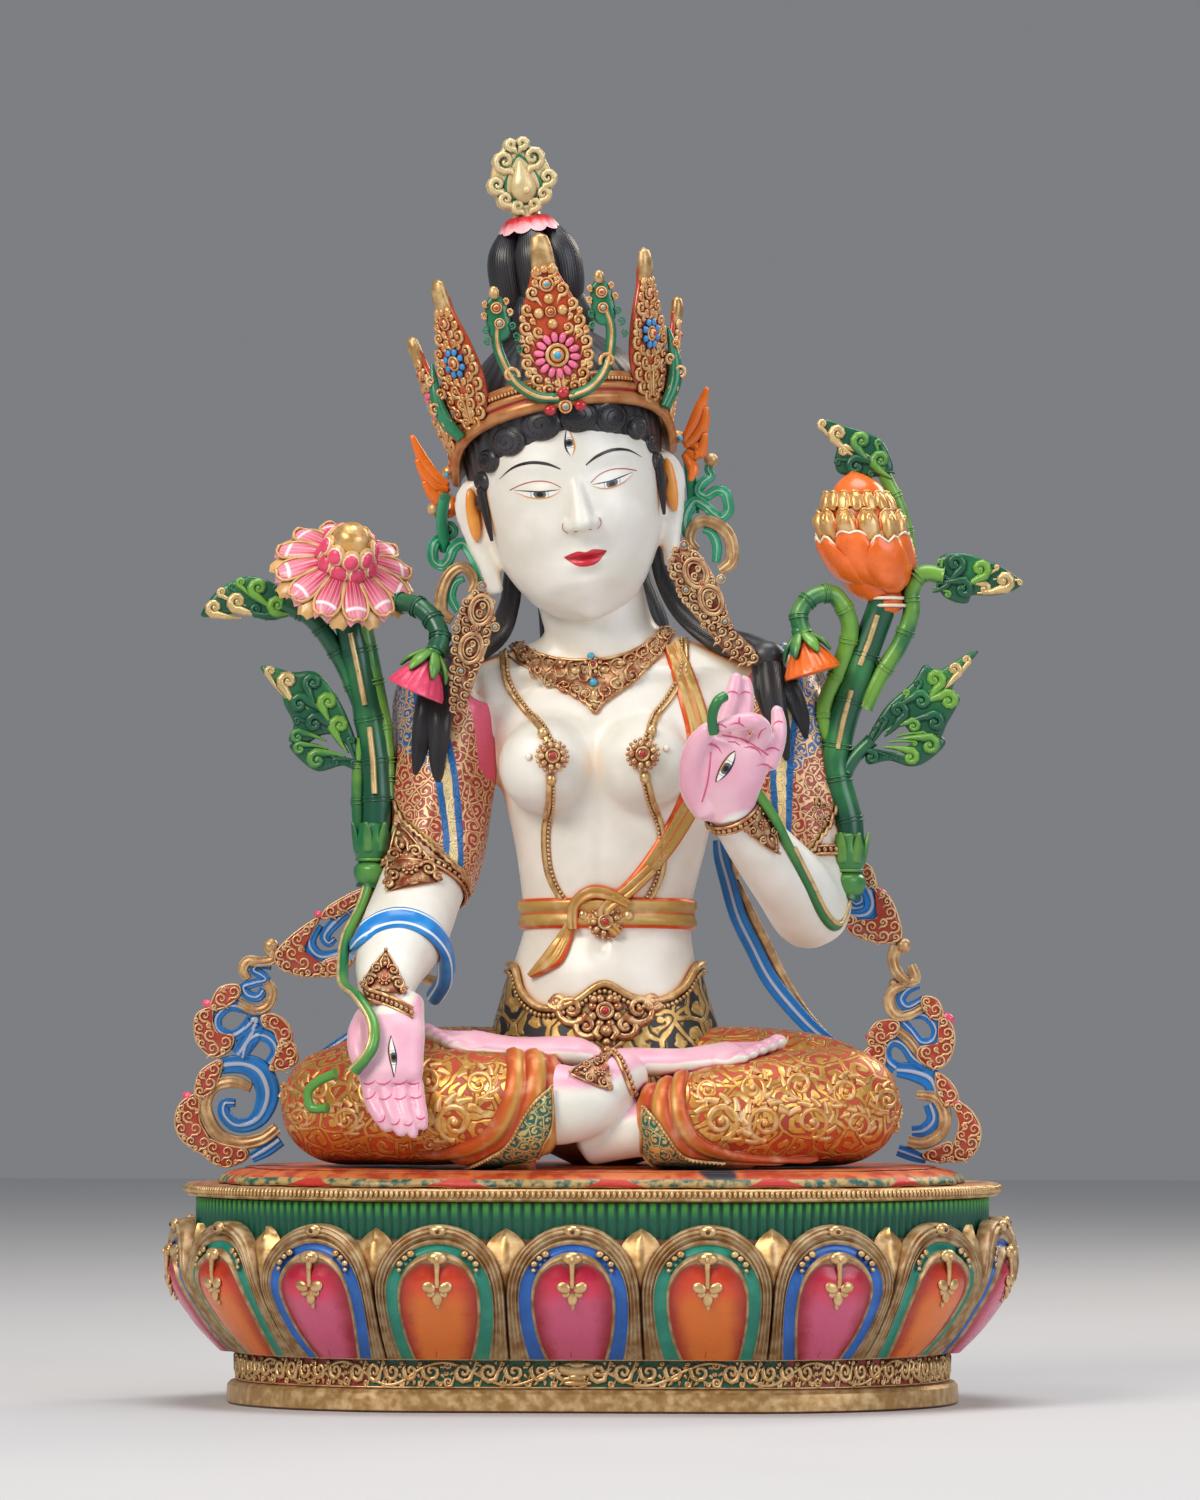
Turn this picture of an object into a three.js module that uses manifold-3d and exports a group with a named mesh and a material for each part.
import * as THREE from 'three';
import { mergeVertices } from 'three/addons/utils/BufferGeometryUtils.js';
import Module from 'manifold-3d';

// A painted, cast goddess seated cross-legged on a lotus pedestal, in millimetres.
// +Z is up, she faces -Y, and the origin is the centre of the pedestal's underside.
// Right and left in names are hers, so "right" is on the -X side.

const wasm = await Module();
wasm.setup();

// Driving dimensions of the pedestal
const baseWidth = 311;
const baseDepth = 202;
const footHeight = 8.3;
const friezeHeight = 10.7;
const petalHeight = 48;
const stamenHeight = 8;
const rimHeight = 4;
const footInset = 23.5;
const friezeInset = 27;
const stamenInset = 12.5;
const rimInset = 9;
const petalCount = 18;
const columnsPerPetal = 4;

// Driving dimensions of the figure and of the pieces fixed to it
const figureHeight = 377;
const clearance = 0.3;
const scarfThickness = 6;
const crownThickness = 3.2;
const stemRadius = 4.2;
const thinStemRadius = 1.9;
const earringThickness = 4;
const jewelThickness = 6;

// The figure is drawn 377 units high from the seat, so one unit is a share of its height.
const drawnHeight = 377;
const unit = figureHeight / drawnHeight;
const baseHeight = footHeight + friezeHeight + petalHeight + stamenHeight + rimHeight;

const degrees = THREE.MathUtils.degToRad;
const vector = (x, y, z) => new THREE.Vector3(x, y, z);
const inUnits = (p) => vector(p[0], p[1], p[2]).multiplyScalar(unit);

// Solids

function toSolid(geometry) {
  const bare = geometry.clone();
  for (const name of ['normal', 'uv']) bare.deleteAttribute(name);
  const merged = mergeVertices(bare, 1e-4);
  return new wasm.Manifold(new wasm.Mesh({
    numProp: 3,
    vertProperties: new Float32Array(merged.attributes.position.array),
    triVerts: new Uint32Array(merged.index.array),
  }));
}

const join = (solids) => solids.reduce((sum, s) => sum.add(s));

function toMesh(name, solid, colour, roughness, metalness = 0) {
  const { vertProperties, triVerts } = solid.getMesh();
  const geometry = new THREE.BufferGeometry();
  geometry.setAttribute('position', new THREE.BufferAttribute(vertProperties, 3));
  geometry.setIndex(new THREE.BufferAttribute(triVerts, 1));
  geometry.computeVertexNormals();
  const material = new THREE.MeshStandardMaterial({ color: colour, roughness, metalness });
  const mesh = new THREE.Mesh(geometry, material);
  mesh.name = name;
  return mesh;
}

// A closed tube through stations [x, y, z, half width, half depth], in units.
// The half width lies along "across".
function loft(stations, { sides = 8, grow = 0, across = [1, 0, 0], cap = 0.5 } = {}) {
  const centres = new THREE.CatmullRomCurve3(stations.map(inUnits));
  const radii = new THREE.CatmullRomCurve3(stations.map((s) => inUnits([s[3], s[4] ?? s[3], 0])));
  const rings = stations.length - 1;
  const geometry = new THREE.SphereGeometry(1, sides, rings + 2);
  const position = geometry.attributes.position;
  for (let row = 0; row <= rings + 2; row++) {
    const t = THREE.MathUtils.clamp((row - 1) / rings, 0, 1);
    const centre = centres.getPoint(t);
    const tangent = centres.getTangent(t);
    const radius = radii.getPoint(t).addScalar(grow);
    const side = vector(...across).projectOnPlane(tangent).normalize();
    const up = tangent.clone().cross(side);
    const pole = row === 0 ? -1 : row === rings + 2 ? 1 : 0;
    centre.addScaledVector(tangent, pole * cap * Math.min(radius.x, radius.y));
    for (let column = 0; column <= sides; column++) {
      const angle = (column % sides) / sides * 2 * Math.PI;
      const reach = pole ? 0 : 1;
      const p = centre.clone()
        .addScaledVector(side, -Math.cos(angle) * radius.x * reach)
        .addScaledVector(up, Math.sin(angle) * radius.y * reach);
      position.setXYZ(row * (sides + 1) + column, p.x, p.y, p.z);
    }
  }
  return geometry;
}

const limb = (stations, options) => toSolid(loft(stations, options));

// A tube of one radius through points, in units
function cane(points, radius, options) {
  return limb(points.map((p) => [...p, radius / unit]), options);
}

// An ellipsoid with centre and half sizes in units
function ellipsoid(centre, half, { sides = 8, grow = 0 } = {}) {
  const geometry = new THREE.SphereGeometry(1, sides, Math.max(4, sides - 2));
  geometry.rotateX(Math.PI / 2);
  geometry.scale(...half.map((h) => h * unit + grow));
  geometry.translate(...inUnits(centre));
  return toSolid(geometry);
}

// A turned shape from [radius, z] in units
function lathe(profile, sides) {
  const points = profile.map(([r, z]) => new THREE.Vector2(r * unit, z * unit));
  return new THREE.LatheGeometry(points, sides).rotateX(Math.PI / 2);
}

// An upright plate whose outline [x, z] in units is a smooth closed curve. Its front is at y.
function plate(outline, y, thickness, holes = []) {
  const smoothed = (points) => {
    const closed = new THREE.CatmullRomCurve3(points.map(([x, z]) => inUnits([x, z, 0])), true);
    const drawn = closed.getPoints(points.length).slice(0, -1).map((p) => new THREE.Vector2(p.x, p.y));
    return THREE.ShapeUtils.isClockWise(drawn) ? drawn.reverse() : drawn;
  };
  const shape = new THREE.Shape(smoothed(outline));
  shape.holes = holes.map((hole) => new THREE.Path(smoothed(hole)));
  const geometry = new THREE.ExtrudeGeometry(shape, { depth: thickness, bevelEnabled: false });
  geometry.rotateX(Math.PI / 2);
  geometry.translate(0, y * unit + thickness, 0);
  return toSolid(geometry);
}

// Lotus pedestal

// The pedestal's plan is a slot with round ends. A share of the way round from the front middle
// gives a point at the given distance inside the widest line.
function planPoint(share, inset) {
  const end = baseDepth / 2;
  const straight = baseWidth / 2 - end;
  const arc = Math.PI * end;
  const perimeter = 4 * straight + 2 * arc;
  const reach = end - inset;
  let s = ((share % 1) + 1) % 1 * perimeter;
  const side = s > straight && s <= 3 * straight + arc ? 1 : -1;
  if (s <= straight || s >= perimeter - straight) {
    const x = s <= straight ? s : s - perimeter;
    return [x, -reach];
  }
  if (s > straight + arc && s < 3 * straight + arc) return [straight - (s - straight - arc), reach];
  const a = (side > 0 ? s - straight : s - 3 * straight - arc) / end;
  return [side * (straight + reach * Math.sin(a)), -side * reach * Math.cos(a)];
}

// Rows of the pedestal's wall, from the underside to the top: inset, height, and how much of the
// petals' swell and of their scalloped tops the row takes.
function pedestalRows() {
  const root = footHeight + friezeHeight;
  const tip = root + petalHeight;
  const rim = tip + stamenHeight;
  const petal = (share, inset, swell, scallop = 0) =>
    ({ inset, z: root + petalHeight * share, swell, scallop });
  return [
    { inset: footInset, z: 0 },
    { inset: footInset, z: footHeight * 0.8 },
    { inset: friezeInset, z: footHeight },
    { inset: friezeInset, z: root },
    petal(0.24, 12, 0.8),
    petal(0.6, 1, 1),
    petal(1, 5.5, 0.3, 1),
    petal(0.9, stamenInset, 0, 0.7),
    { inset: stamenInset, z: rim },
    { inset: rimInset, z: rim + rimHeight * 0.2 },
    { inset: rimInset, z: baseHeight },
  ];
}

function lotusBase() {
  const rows = pedestalRows();
  const petalSwell = 5;
  const scallopDrop = 5;
  const betweenInset = 3;
  const wall = rows.map((r) => new THREE.Vector2(1, r.z));
  const profile = [new THREE.Vector2(0, 0), ...wall, new THREE.Vector2(0, baseHeight)];
  const columns = petalCount * columnsPerPetal;
  const geometry = new THREE.LatheGeometry(profile, columns);
  const position = geometry.attributes.position;
  for (let column = 0; column <= columns; column++) {
    const share = (column % columns) / columns;
    const across = ((share * petalCount + 0.5) % 1) - 0.5;
    const edge = Math.pow(Math.abs(2 * across), 2.2);
    const drop = scallopDrop * Math.sin(1.5 * Math.PI * Math.abs(across)) ** 2;
    for (let i = 0; i < profile.length; i++) {
      const row = rows[i - 1];
      const vertex = column * profile.length + i;
      if (!row) {
        position.setXYZ(vertex, 0, 0, profile[i].y);
        continue;
      }
      const inset = row.inset + petalSwell * (row.swell ?? 0) * edge
        + betweenInset * (row.scallop ?? 0) * edge;
      const [x, y] = planPoint(share, inset);
      position.setXYZ(vertex, x, y, row.z - drop * (row.scallop ?? 0));
    }
  }
  return toSolid(geometry);
}

// The figure. All stations are [x, y, z, half width, half depth] in units above the seat.

const torso = [
  [2, 13, 18, 41, 33], [3, 13, 32, 42, 34], [4, 11.5, 50, 41, 30], [4, 10, 70, 35.5, 25],
  [5, 9, 90, 30.5, 20.5], [5, 9, 105, 31.5, 21], [6, 9, 127, 36, 23], [6, 9, 150, 41, 25],
  [6, 10, 168, 45, 23], [5, 11, 181, 42, 18], [4, 11, 190, 27, 15.5], [3, 10, 197, 20, 15.5],
  [0, 7, 208, 19.5, 16], [-4, 3, 226, 20, 17],
];
const breasts = [[-16, -13, 150], [19.5, -13, 150.5]];
const breastHalf = [17.5, 16, 17.5];
const armRight = [
  [-46, 13, 182, 11], [-52, 12, 174, 18.5, 17], [-54, 8, 150, 17.7, 16.5], [-57.5, 2, 122, 17.2, 16],
  [-62, -7, 104, 15.6, 15.5], [-66, -26, 89, 16, 14.5], [-69, -46, 77, 12.5, 11.5],
  [-69, -58, 69, 10, 9], [-69, -64, 63, 9.5, 8],
];
const armLeft = [
  [56, 14, 184, 11], [64, 12, 176, 18.5, 17], [70, 8, 150, 17.5, 16.5], [77, 2, 120, 16, 15.5],
  [79.5, -5, 98, 14.2, 14.5], [73, -20, 107, 13.6, 13.5], [62, -38, 121, 11.3, 11],
  [55, -48, 130, 9.2, 8.6], [52.5, -52, 135, 9, 8],
];
const palmRight = [
  [-69, -62, 66, 9, 7], [-68, -70, 56, 11, 6.5], [-66.5, -75, 46, 12, 6], [-65, -78, 37, 11, 4.5],
];
const palmLeft = [
  [52.5, -53, 134, 9, 7.5], [51, -57, 141, 13.5, 7], [51, -60, 149, 15, 6.5], [53.5, -61, 157, 13.5, 5],
];
const fingersRight = [
  [[-73.5, -77, 40, 3.5], [-71.5, -82, 30, 3.2], [-65.5, -84, 21, 2.6]],
  [[-68, -78, 40, 3.5], [-65, -84, 29, 3.3], [-59.5, -86, 19, 2.6]],
  [[-62.5, -78, 40, 3.4], [-60, -84, 29, 3.1], [-55.5, -86, 18, 2.5]],
  [[-57, -77, 40, 3.3], [-55, -82, 30, 3], [-52.5, -84, 21.5, 2.4]],
  [[-77, -66, 58, 4], [-79, -73, 49, 4], [-76, -78, 40, 2.8]],
];
const fingersLeft = [
  [[48, -60, 156, 3.6], [53, -61, 169, 3.3], [55.5, -60, 180, 2.4]],
  [[55, -60, 157, 3.6], [58.5, -58, 169, 3.2], [58, -56, 179, 2.4]],
  [[62, -60, 155, 3.5], [64.5, -65, 162, 3.4], [57, -69, 164, 3], [50, -69, 162, 2.4]],
  [[66.5, -58, 150, 3.3], [70, -58, 160, 3.1], [69.5, -57, 168.5, 2.3]],
  [[40, -59, 143, 5], [41, -65, 154, 4.2], [46.5, -69, 161.5, 2.8]],
];
const thighs = [
  [[-20, 12, 33, 22, 22], [-52, 4, 34, 23, 22], [-80, -8, 31, 22, 22], [-97, -14, 29, 15, 17]],
  [[24, 12, 33, 22, 22], [56, 4, 34, 23, 22], [82, -8, 31, 22, 22], [99, -14, 29, 15, 17]],
];
const shins = [
  [[-100, -16, 28, 14, 16], [-90, -26, 28, 21, 21], [-70, -42, 28, 20, 21], [-46, -57, 28, 18, 20.5],
    [-24, -65, 29, 17, 18.5], [-10, -68, 30, 16, 17.5]],
  [[102, -16, 28, 14, 16], [92, -26, 28, 21, 21], [73, -41, 27, 20, 20.5], [50, -54, 25, 18, 18.5],
    [33, -60, 23, 15, 15], [25, -62, 22, 13, 13]],
];
const ankles = [
  [[-12, -68, 29, 12, 15], [0, -68, 30, 11, 13.5], [10, -64, 36, 9, 10.5], [18, -56, 41, 8, 8.5]],
  [[30, -60, 22, 10, 11.5], [18, -60, 20, 9, 10], [2, -56, 15, 8, 8]],
];
const soles = [
  { heel: [14, -46, 43], length: 60, towards: 1 },
  { heel: [-4, -41, 47], length: 58, towards: -1 },
];
const sole = {
  heelRadius: 8.5, ballHalfWidth: 10.5, toeCount: 5, toeReach: 5, thickness: 9, tilt: 14, rise: 4,
};
const hem = { halfWidth: 133, halfDepth: 79, centreY: -3, height: 6, waves: 14, wave: 0.012 };

// Raised belt, armlets, bracelets and trouser cuffs: short thick collars round the body's tubes
const bands = [
  { sides: 12, stations: [[4, 10.5, 64, 39.8, 29.3], [4, 10, 77, 36.6, 26.6]] },
  { sides: 8, stations: [[-55, 6, 142, 19.3, 18], [-56.5, 4, 130, 19.3, 18]] },
  { sides: 8, stations: [[72, 7, 142, 19, 18], [74.5, 5, 130, 18.2, 17.5]] },
  { sides: 8, stations: [[-68.5, -48, 76, 13, 12], [-69, -56, 70, 12, 11]] },
  { sides: 8, stations: [[58, -44, 126.5, 12, 11.5], [54.5, -49, 132, 11, 10.6]] },
];

// The head's own frame: its origin is in the middle of the skull, and it leans, turns and bows.
const headCentre = [-8, -3, 250];
const headLean = -9;
const headTurn = 8;
const headBow = 3;
const headMatrix = new THREE.Matrix4().compose(
  inUnits(headCentre),
  new THREE.Quaternion().setFromEuler(
    new THREE.Euler(degrees(headBow), degrees(headLean), degrees(headTurn), 'ZYX')),
  vector(1, 1, 1));

const skull = [
  [0, -15, -43, 9, 8], [0, -11, -37, 18, 17], [0, -6, -24, 27, 26.5], [0, -2, -8, 32, 33],
  [0, 0, 10, 33.5, 35.5], [0, 2, 28, 32, 35], [0, 3, 44, 26, 29], [0, 3, 54, 12, 14],
];
const hairCap = [
  [0, 12, -22, 18, 16], [0, 8, -6, 31, 27], [0, 6, 8, 35.6, 33], [0, 3, 24, 36.8, 37.5],
  [0, 3, 36, 34, 35.5], [0, 3, 46, 27.5, 30], [0, 3, 55, 17, 18],
];
// The topknot: an upright roll of locks over shorter loops, [radius, z] from the scalp up
const topknot = {
  locks: 7,
  depth: 0.16,
  centreY: 4,
  profile: [[0, 48], [17, 50], [18.5, 60], [17.5, 70], [14.5, 74], [16.5, 82], [14, 90], [8, 93], [0, 93]],
};
const ear = [
  [34, 0, 6, 4, 2.4], [37, 0, -2, 5.5, 3], [36, -1, -13, 4.6, 2.8], [33, -4, -25, 3.4, 2.4],
  [32.5, -5, -34, 3, 2.4],
];
const nose = [[0, -33, 10, 3, 3], [0, -37, -2, 3.4, 3.4], [0, -39, -9, 4.6, 3.4]];
const backHair = [
  [-5, 30, 238, 25, 10], [0, 29, 214, 22, 9], [3, 29, 196, 25, 8], [5, 32, 172, 24, 6], [5, 32, 150, 14, 4],
];
const hairLocks = [
  [[-24, 16, 206, 4], [-38, 12, 196, 5.5], [-52, 6, 189, 6.5], [-57, -4, 176, 6], [-58, -10, 156, 3.5]],
  [[26, 18, 210, 4], [42, 14, 200, 5.5], [58, 8, 191, 6.5], [67, -1, 178, 6.5], [69, -8, 156, 3.5]],
];

function topknotSolid(grow) {
  const { locks, depth, centreY, profile } = topknot;
  const columns = locks * 2;
  const geometry = lathe(profile, columns);
  const position = geometry.attributes.position;
  for (let i = 0; i < position.count; i++) {
    const column = Math.floor(i / profile.length) % columns;
    const row = i % profile.length;
    const waist = row > 0 && row < profile.length - 2 ? depth : 0;
    const reach = (column % 2 ? 1 : 1 - waist) + grow / (profile[row][0] * unit + 1);
    position.setX(i, position.getX(i) * reach);
    position.setY(i, position.getY(i) * reach);
  }
  geometry.translate(0, centreY * unit, 0);
  return toSolid(geometry);
}

function headSolids(grow = 0) {
  const mirrored = ear.map(([x, ...rest]) => [-x, ...rest]);
  return [
    limb(skull, { sides: 12, grow }),
    limb(hairCap, { sides: 12, grow }),
    topknotSolid(grow),
    ...[ear, mirrored].map((e) => limb(e, { sides: 5, grow })),
    limb(nose, { sides: 5, grow }),
  ];
}

function handSolids(palm, fingers, grow) {
  return [
    limb(palm, { sides: 7, grow }),
    ...fingers.map((f) => limb(f, { sides: 4, grow, cap: 0.8 })),
  ];
}

// A foot lies sole up: its outline has a round heel, a wider ball and a row of toes
function footSolid({ heel, length, towards }) {
  const { heelRadius, ballHalfWidth, toeCount, toeReach, thickness, tilt, rise } = sole;
  const toeStart = length - toeReach;
  const outline = [[length * 0.35, heelRadius * 0.95], [length * 0.7, ballHalfWidth]];
  for (let i = 0; i < toeCount * 2 + 1; i++) {
    const across = ballHalfWidth * (1 - i / toeCount);
    outline.push([toeStart - Math.abs(across) * 0.25 + (i % 2 ? toeReach : 0), across]);
  }
  outline.push([length * 0.7, -ballHalfWidth], [length * 0.35, -heelRadius * 0.95]);
  for (let i = 0; i < 4; i++) {
    const turn = degrees(-130 - i * 33);
    outline.push([heelRadius * Math.cos(turn), heelRadius * Math.sin(turn)]);
  }
  const shape = new THREE.Shape(outline.map(([x, y]) => new THREE.Vector2(x * unit, y * unit)));
  const geometry = new THREE.ExtrudeGeometry(shape, { depth: thickness * unit, bevelEnabled: false });
  geometry.translate(0, 0, -thickness * unit / 2);
  if (towards < 0) geometry.rotateZ(Math.PI);
  geometry.rotateY(degrees(-rise * towards));
  geometry.rotateX(degrees(tilt));
  geometry.translate(...inUnits(heel));
  return toSolid(geometry);
}

// The cloth she sits on: a low slab with a waved edge
function hemSolid() {
  const { halfWidth, halfDepth, centreY, height, waves, wave } = hem;
  const count = waves * 2.5;
  const points = Array.from({ length: count }, (_, i) => {
    const a = i / count * 2 * Math.PI;
    const swell = 1 + wave * Math.sin(waves * a);
    const square = Math.pow(Math.abs(Math.cos(a)) ** 2.6 + Math.abs(Math.sin(a)) ** 2.6, -1 / 2.6);
    return new THREE.Vector2(halfWidth * swell * square * Math.cos(a) * unit,
      (centreY + halfDepth * swell * square * Math.sin(a)) * unit);
  });
  const shape = new THREE.Shape(points);
  return toSolid(new THREE.ExtrudeGeometry(shape, { depth: height * unit, bevelEnabled: false }));
}

function figureSolid(grow = 0) {
  const head = join(headSolids(grow)).transform(headMatrix.elements);
  const away = { grow };
  return join([
    limb(torso, { sides: 12, ...away }),
    ...breasts.map((b) => ellipsoid(b, breastHalf, { sides: 8, ...away })),
    limb(armRight, { sides: 8, ...away }),
    limb(armLeft, { sides: 8, ...away }),
    ...handSolids(palmRight, fingersRight, grow),
    ...handSolids(palmLeft, fingersLeft, grow),
    ...thighs.map((t) => limb(t, { sides: 8, across: [0, 1, 0], ...away })),
    ...shins.map((s) => limb(s, { sides: 8, across: [0, 1, 0], ...away })),
    ...ankles.map((a) => limb(a, { sides: 8, across: [0, 1, 0], ...away })),
    ...soles.map(footSolid),
    ...bands.map((b) => limb(b.stations, { sides: b.sides, cap: 0.05, ...away })),
    limb(backHair, { sides: 8, ...away }),
    ...hairLocks.map((l) => limb(l, { sides: 5, ...away })),
    head,
    hemSolid(),
  ]);
}

// Crown and crest jewel, in the head's own frame

const bandHalf = { x: 39.3, y: 40, centreY: 3, height: 5.6 };
const bandEnds = 12;
const bandRise = 23.5;
const backRise = 7;

// The band goes from ear to ear over the forehead, and low round the back.
function bandPoint(angle) {
  const front = Math.cos(angle);
  const z = front >= 0
    ? bandEnds + bandRise * Math.sqrt(front)
    : bandEnds + backRise * Math.sin(-front * Math.PI / 2);
  return inUnits([bandHalf.x * Math.sin(angle), bandHalf.centreY - bandHalf.y * front, z]);
}

function crownBand() {
  const around = 28;
  const sides = 4;
  const geometry = new THREE.TorusGeometry(1, 0.5, sides, around);
  const position = geometry.attributes.position;
  const corner = Math.SQRT2;
  for (let i = 0; i <= around; i++) {
    const angle = (i % around + 0.5) / around * 2 * Math.PI;
    const centre = bandPoint(angle);
    const along = bandPoint(angle + 0.02).sub(bandPoint(angle - 0.02)).normalize();
    const out = vector(Math.sin(angle), -Math.cos(angle), 0).projectOnPlane(along).normalize();
    const up = out.clone().cross(along);
    for (let j = 0; j <= sides; j++) {
      const v = (j % sides + 0.5) / sides * 2 * Math.PI;
      const p = centre.clone()
        .addScaledVector(out, corner * crownThickness / 2 * Math.cos(v))
        .addScaledVector(up, corner * bandHalf.height * unit * Math.sin(v));
      position.setXYZ(j * (around + 1) + i, p.x, p.y, p.z);
    }
  }
  return toSolid(geometry);
}

// Half of a crown leaf's outline, as shares of its width and height
const leafEdge = [[0.22, -0.04], [0.5, 0.2], [0.42, 0.48], [0.19, 0.74], [0.15, 0.9], [0.05, 0.98]];
const frontLeaf = { angle: 0, width: 26, height: 58, lean: 2 };
const sideLeaf = { angle: 53, width: 23, height: 53, lean: 8 };
const outerLeaf = { angle: 80, width: 21, height: 43, lean: 13 };
const leafSetBack = 2.4;

function crownLeaf({ angle, width, height, lean }, side) {
  const right = leafEdge.map(([x, z]) => [x * width, z * height]);
  const left = leafEdge.map(([x, z]) => [-x * width, z * height]).reverse();
  const at = bandPoint(degrees(angle * side));
  const matrix = new THREE.Matrix4().makeTranslation(at.x, at.y, at.z)
    .multiply(new THREE.Matrix4().makeRotationZ(degrees(angle * side)))
    .multiply(new THREE.Matrix4().makeRotationX(degrees(lean)));
  return plate([...right, ...left], -leafSetBack, crownThickness).transform(matrix.elements);
}

const vine = [[2, -39, 33], [10, -40.5, 35], [17, -39, 42], [20.5, -38, 54], [18.5, -38, 74]];
const smallLeaf = [[37, -19, 24], [43, -16, 36], [43, -14, 52]];
const bow = [[38, 3], [42, -6], [46, -12], [49, 0], [53, 12], [56, 30], [51, 27], [47, 19], [41, 15]];
// Ribbons behind the ears, drawn in the figure's frame
const ribbonY = 10;
const ribbons = [
  [[-59.5, 234], [-53, 238.5], [-52, 229], [-47, 224], [-44.5, 216], [-40, 211], [-40, 205], [-47, 203.5],
    [-54.5, 206], [-54, 213], [-50, 219], [-58.5, 219.5], [-60.5, 226], [-55.5, 231]],
  [[39, 258.5], [44.5, 261], [46.5, 252], [51, 247], [53, 240], [48, 234.5], [50.5, 228], [53, 219],
    [49, 208], [42.5, 209], [36, 221], [33, 232], [34.5, 243], [38.5, 251]],
];

function crown() {
  const mirror = (points, side) => points.map(([x, ...rest]) => [x * side, ...rest]);
  const pairs = [sideLeaf, outerLeaf].flatMap((leaf) => [1, -1].map((side) => crownLeaf(leaf, side)));
  const sides = [1, -1].flatMap((side) => [
    cane(mirror(vine, side), 2.4, { sides: 4 }),
    cane(mirror(smallLeaf, side), 2.6, { sides: 4 }),
    plate(mirror(bow, side), 4, crownThickness),
  ]);
  const toHead = headMatrix.clone().invert();
  const hung = ribbons.map((r) => plate(r, ribbonY, crownThickness).transform(toHead.elements));
  const straps = [
    cane([[-44.5, 6, 4], [-46.5, 14, -4], [-46.5, 22, -15]], 2.6, { sides: 4 }),
    cane([[45, 6, 4], [45, 10, -6], [44, 9, -16]], 2.6, { sides: 4 }),
  ];
  return join([crownBand(), crownLeaf(frontLeaf, 1), ...pairs, ...sides, ...hung, ...straps]);
}

function crestJewel() {
  const skirtAndCollar = toSolid(lathe([[0, 93.6], [11, 93.6], [11, 95], [5.6, 98.6], [5.6, 103.5],
    [0, 103.5]], 10).translate(0, 3 * unit, 0));
  const flame = plate([[0, 100.5], [7.5, 103], [12, 109.5], [11.8, 116.5], [9, 122.5], [4, 127], [0, 128.6],
    [-4.5, 127.6], [-9, 122.5], [-11.8, 116.5], [-11.5, 108.5], [-7.5, 103]], 0, jewelThickness);
  const pearl = ellipsoid([0, 3, 112], [6, 5.5, 8.5], { sides: 6 });
  return join([skirtAndCollar, flame, pearl]);
}

// Earrings: long plates from the ear lobes to the shoulders
const earrings = {
  right: {
    outline: [[-38.5, 214], [-33.5, 209], [-34, 200], [-37, 190], [-40.5, 181], [-44, 171], [-48.5, 168.5],
      [-50.5, 172], [-50, 182], [-49.5, 193], [-47.5, 203], [-44, 212]],
    y: -19.5,
  },
  left: {
    outline: [[29, 228], [35, 230], [41, 225], [47, 214], [50.5, 203], [54, 196], [60, 191], [60.5, 187],
      [56, 185.5], [49, 190], [42, 198], [34, 208], [28.5, 219]],
    y: -14,
  },
};

const earring = ({ outline, y }) => plate(outline, y, earringThickness);

// Lotus sprays: stems, leaves and a flower or bud. Points are [x, y, z] in units.

const acanthus = [
  [0, -2], [8, -6], [16, -10], [26, -13], [33, -8], [34, 0], [36, 8], [44, 18], [36, 19], [29, 20],
  [20, 15],
  [12, 10], [4, 5],
];
const palmette = [[0, -3], [7, -6], [16, -6], [26, -3], [36, -3], [29, 4], [19, 7], [9, 6], [2, 3]];

const leafRoots = {
  rightLow: [-81, -4, 152],
  rightHigh: [-106, -3, 206],
  leftLow: [94, -4, 158],
  leftHigh: [117, -3, 217],
  leftTop: [106, 4, 250],
};

// A leaf outline turned, mirrored and moved so that its root is at the given place
function leafPlate(outline, [x, y, z], turn, side) {
  const c = Math.cos(degrees(turn));
  const s = Math.sin(degrees(turn));
  const placed = outline.map(([u, v]) => [x + side * (u * c - v * s), z + u * s + v * c]);
  return plate(placed, y, scarfThickness * 0.7);
}

const stemsRight = {
  main: [[-79.5, -4, 106], [-77.5, -3, 138], [-80.5, -2, 167], [-90, -2, 212]],
  second: [[-74, -2, 138], [-76, -1, 164], [-84, -2, 206]],
  leafStem: [[-82, -1, 168], [-90, -1, 187], [-101, -1, 203], [-112, -1, 208.5]],
  arch: [[-74, -4, 216], [-61, -10, 208], [-57, -18, 197], [-62, -20, 187]],
};
const handStemRight = [
  [-79.5, -4, 112], [-86, -28, 88], [-85, -50, 72], [-79, -72, 68], [-71, -81, 55], [-75, -85, 43],
  [-88, -75, 39], [-94, -70, 31], [-87, -70, 27],
];
const stemsLeft = {
  main: [[92, -4, 102], [93, -3, 127], [88, -2, 151], [94, -2, 177], [105.5, -2, 210]],
  loop: [[87, -2, 158], [86, -3, 182], [92.5, -6, 200], [84, -12, 210], [74, -15, 199]],
  leafStem: [[100, -2, 178], [111, -2, 192], [115, -2, 210], [121, -2, 219]],
  topStem: [[104, 2, 204], [114, 8, 220], [112, 8, 240], [100, 7, 262]],
};
const handStemLeft = [
  [92, -4, 108], [93, -13, 91], [83, -32, 100], [71, -49, 115], [65, -58, 127], [66.5, -54, 139],
];

// The swelling that the stems grow from
function calyx([x, y, z]) {
  const rings = [[-12, 4], [-7, 7.2], [-1, 6.2], [6, 7.6], [11, 5.5]];
  return limb(rings.map(([rise, radius]) => [x, y, z + rise, radius]), { sides: 7 });
}

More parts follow.
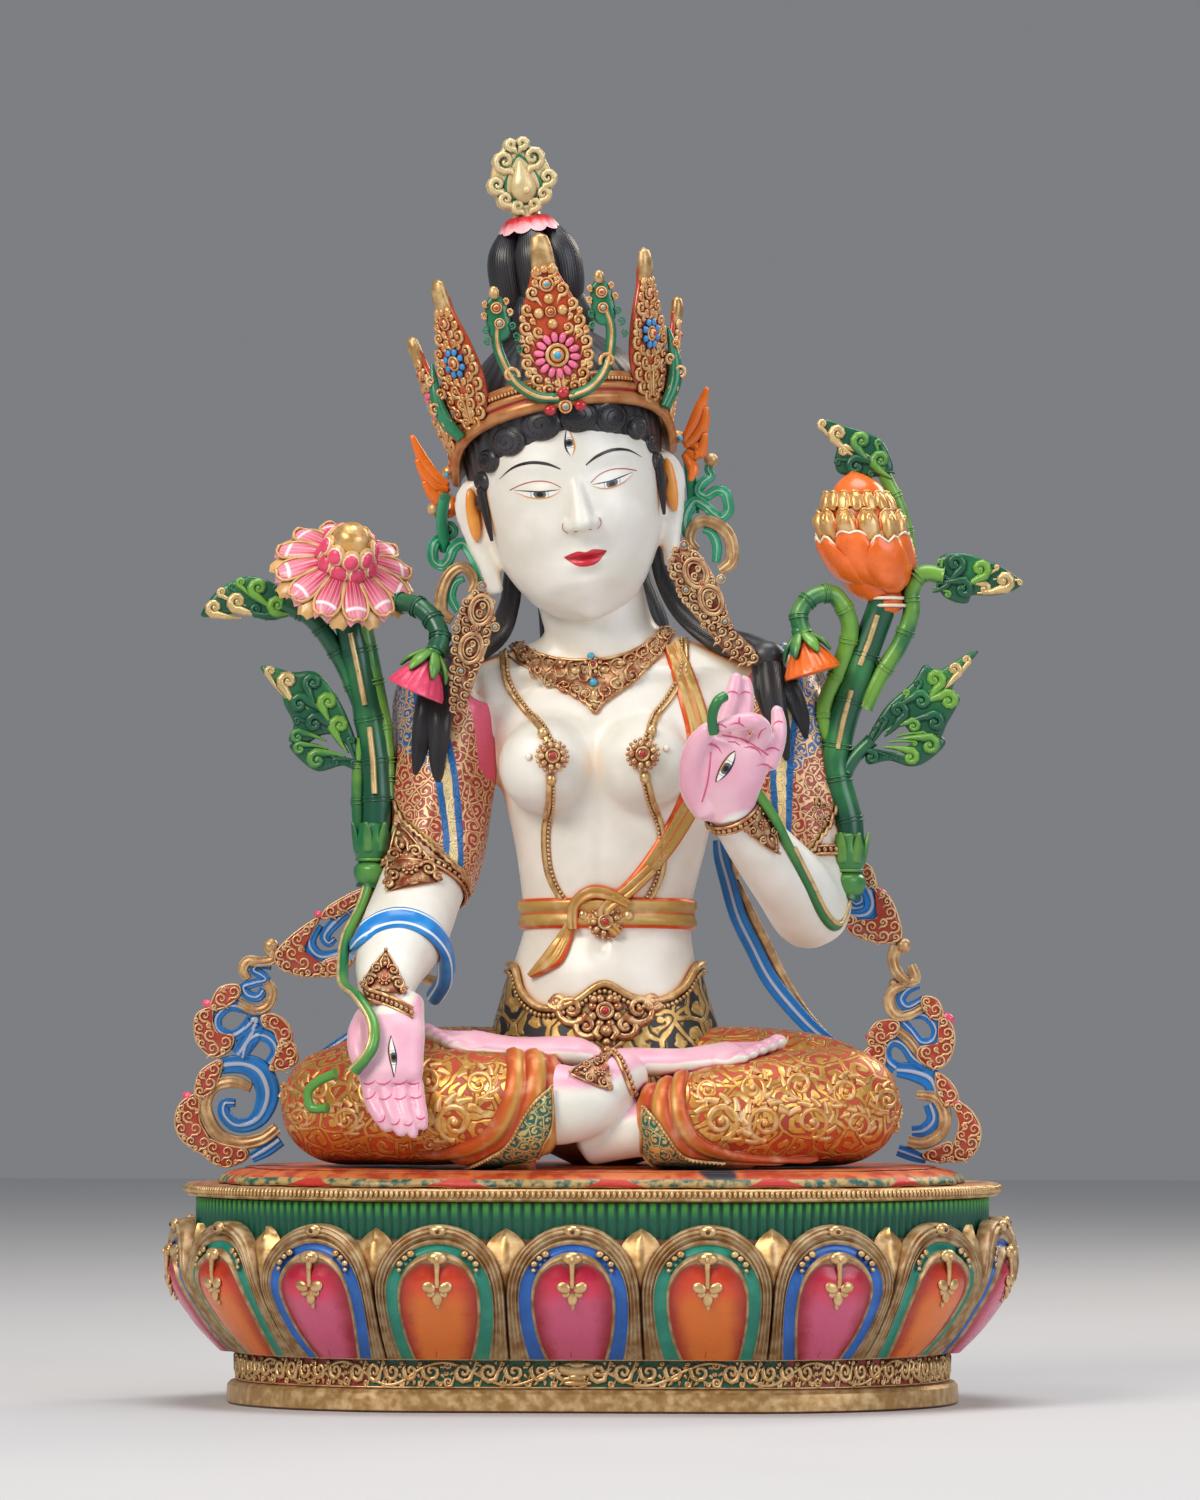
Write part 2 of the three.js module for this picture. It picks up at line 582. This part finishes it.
// A small flower that hangs from a stem's end, opening along [dx, dz]
function smallFlower([x, y, z], [dx, dz]) {
  const rings = [[0, 2.5], [3, 4.5], [9, 9], [10, 8.6]];
  const stations = rings.map(([along, radius]) => [x + dx * along, y, z + dz * along, radius]);
  return limb(stations, { sides: 7, cap: 0.1, across: [0, 1, 0] });
}

const flowerCentre = [-90.5, -5, 217];
const flowerTilt = 34;

// The open flower: two rings of drooping petals, a cone of small ones and a domed heart
function openFlower() {
  const petals = 12;
  const sides = petals * 2;
  const profile = [[0, -3.5], [25, -6], [26, -3.6], [14, 2], [8.5, 6], [8, 12], [0, 16.5]];
  const geometry = lathe(profile, sides);
  const position = geometry.attributes.position;
  for (let i = 0; i < position.count; i++) {
    const radius = Math.hypot(position.getX(i), position.getY(i));
    const column = Math.floor(i / profile.length);
    const scallop = radius > 20 * unit && column % 2 ? 0.9 : 1;
    position.setX(i, position.getX(i) * scallop);
    position.setY(i, position.getY(i) * scallop);
  }
  geometry.rotateX(degrees(flowerTilt));
  geometry.translate(...inUnits(flowerCentre));
  return toSolid(geometry);
}

// The closed bud, leaning a little to her right
const bud = [
  [105.5, -2, 206, 6], [104.5, -2, 211, 7.5], [102.5, -2, 219, 14], [100.5, -2, 230, 16.5],
  [98.5, -2, 241, 14.5],
  [96.5, -2, 250, 9.5], [95.5, -2, 254, 5],
];

function stemSolids({ main, topStem, ...others }) {
  return [
    cane(main, stemRadius * 1.35, { sides: 6 }),
    ...(topStem ? [cane(topStem, stemRadius * 0.6, { sides: 5 })] : []),
    ...Object.values(others).map((points) => cane(points, stemRadius * 0.85, { sides: 4 })),
  ];
}

function sprayRight() {
  return join([
    ...stemSolids(stemsRight),
    cane(handStemRight, thinStemRadius, { sides: 4 }),
    calyx([-79, -4, 118]),
    openFlower(),
    smallFlower([-62.5, -20, 187], [-0.5, -0.86]),
    leafPlate(acanthus, leafRoots.rightLow, 26, -1),
    leafPlate(palmette, leafRoots.rightHigh, 4, -1),
  ]);
}

function sprayLeft() {
  return join([
    ...stemSolids(stemsLeft),
    cane(handStemLeft, thinStemRadius, { sides: 4 }),
    calyx([92, -4, 114]),
    limb(bud, { sides: 10 }),
    smallFlower([74, -15, 199], [0.25, -0.97]),
    leafPlate(acanthus, leafRoots.leftLow, 26, 1),
    leafPlate(palmette, leafRoots.leftHigh, 8, 1),
    leafPlate(palmette, leafRoots.leftTop, 42, -1),
  ]);
}

// Scarves: pierced plates beside the knees, with a band over the forearm or a fall behind the arm

const scarves = {
  right: {
    outline: [[-76, 114], [-85, 112], [-96, 107], [-108, 100.5], [-115, 93], [-122, 89], [-127.5, 81],
      [-129, 73],
      [-138, 70], [-143, 64], [-146, 56], [-144, 47], [-137, 43], [-145, 36], [-151, 28], [-152, 18],
      [-147, 11],
      [-135, 7.5], [-124, 7.5], [-112, 12], [-100, 20], [-104, 34], [-109, 44], [-114, 52], [-116, 62],
      [-120, 70], [-119, 79], [-108, 76.5], [-97, 76], [-86, 80], [-80, 86], [-78, 98]],
    holes: [
      [[-86, 98], [-95, 96], [-102, 90], [-97, 84], [-88, 87]],
      [[-124, 61], [-130, 59], [-131, 53], [-124, 54]],
      [[-119, 45], [-124, 44], [-125, 38], [-119, 40]],
      [[-127, 31], [-133, 27], [-131, 20], [-124, 21], [-122, 27]],
    ],
    y: 8,
    band: [[-82, 10, 92], [-85, -10, 87], [-82, -30, 90], [-70, -42, 96], [-56, -40, 92], [-49, -28, 82],
      [-48, -12, 74], [-56, 2, 74], [-72, 10, 82], [-84, 12, 90]],
  },
  left: {
    outline: [[86, 112], [92, 118], [99, 113], [106, 104], [112, 96], [114.5, 86], [118, 76],
      [124, 68], [130, 62],
      [131, 50], [126, 42], [132, 39], [136, 30], [140.5, 24], [140, 15], [132, 8.5], [121, 7.5], [112, 9],
      [98, 14], [98, 30], [100, 36], [96, 44], [98, 54], [106, 60], [104, 68], [107, 76], [103, 83],
      [94, 87], [87, 94], [83, 103]],
    holes: [
      [[92, 104], [98, 106], [101, 99], [97, 93], [91, 96]],
      [[116, 59], [121, 60], [123, 54], [117, 53]],
      [[104, 50], [110, 51], [113, 45], [106, 44]],
      [[113, 31], [119, 31], [121, 22], [114, 19], [110, 24]],
    ],
    y: 8,
    band: [[86, 12, 104], [84, 20, 116], [72, 27, 128], [58, 30, 126], [48, 30, 116], [50, 30, 102],
      [56, 30, 86], [66, 31, 68], [78, 31, 54], [88, 28, 44], [96, 20, 36]],
  },
};

function scarf({ outline, holes, y, band }) {
  return join([plate(outline, y, scarfThickness, holes), cane(band, scarfThickness * 0.55, { sides: 5 })]);
}

// Assembly

const largest = (solid) => solid.decompose().sort((a, b) => b.volume() - a.volume())[0];
const figureCut = figureSolid(clearance);
const grownStem = (points) => cane(points, thinStemRadius + clearance, { sides: 4 });
const scarfRight = scarf(scarves.right).subtract(figureCut).subtract(grownStem(handStemRight));

const tara = new THREE.Group();
tara.add(toMesh('lotus_base', lotusBase(), 0xb8893a, 0.4, 0.3));

const seated = new THREE.Group();
seated.position.z = baseHeight + clearance;
tara.add(seated);
seated.add(toMesh('figure', figureSolid(), 0xe6e2d6, 0.45));
seated.add(toMesh('earring_right', earring(earrings.right), 0xb07a4a, 0.35, 0.7));
seated.add(toMesh('earring_left', earring(earrings.left), 0xb07a4a, 0.35, 0.7));
seated.add(toMesh('lotus_spray_right', largest(sprayRight().subtract(figureCut)), 0x1f7a4a, 0.35, 0.2));
seated.add(toMesh('lotus_spray_left', largest(sprayLeft().subtract(figureCut)), 0x1f7a4a, 0.35, 0.2));
seated.add(toMesh('scarf_right', largest(scarfRight), 0x1a86d0, 0.4));
seated.add(toMesh('scarf_left', largest(scarf(scarves.left).subtract(figureCut)), 0x1a86d0, 0.4));

const head = new THREE.Group();
headMatrix.decompose(head.position, head.quaternion, head.scale);
seated.add(head);
head.add(toMesh('crown', crown(), 0xd0873a, 0.4, 0.5));
head.add(toMesh('crest_jewel', crestJewel(), 0xc9a85a, 0.35, 0.7));

export default tara;
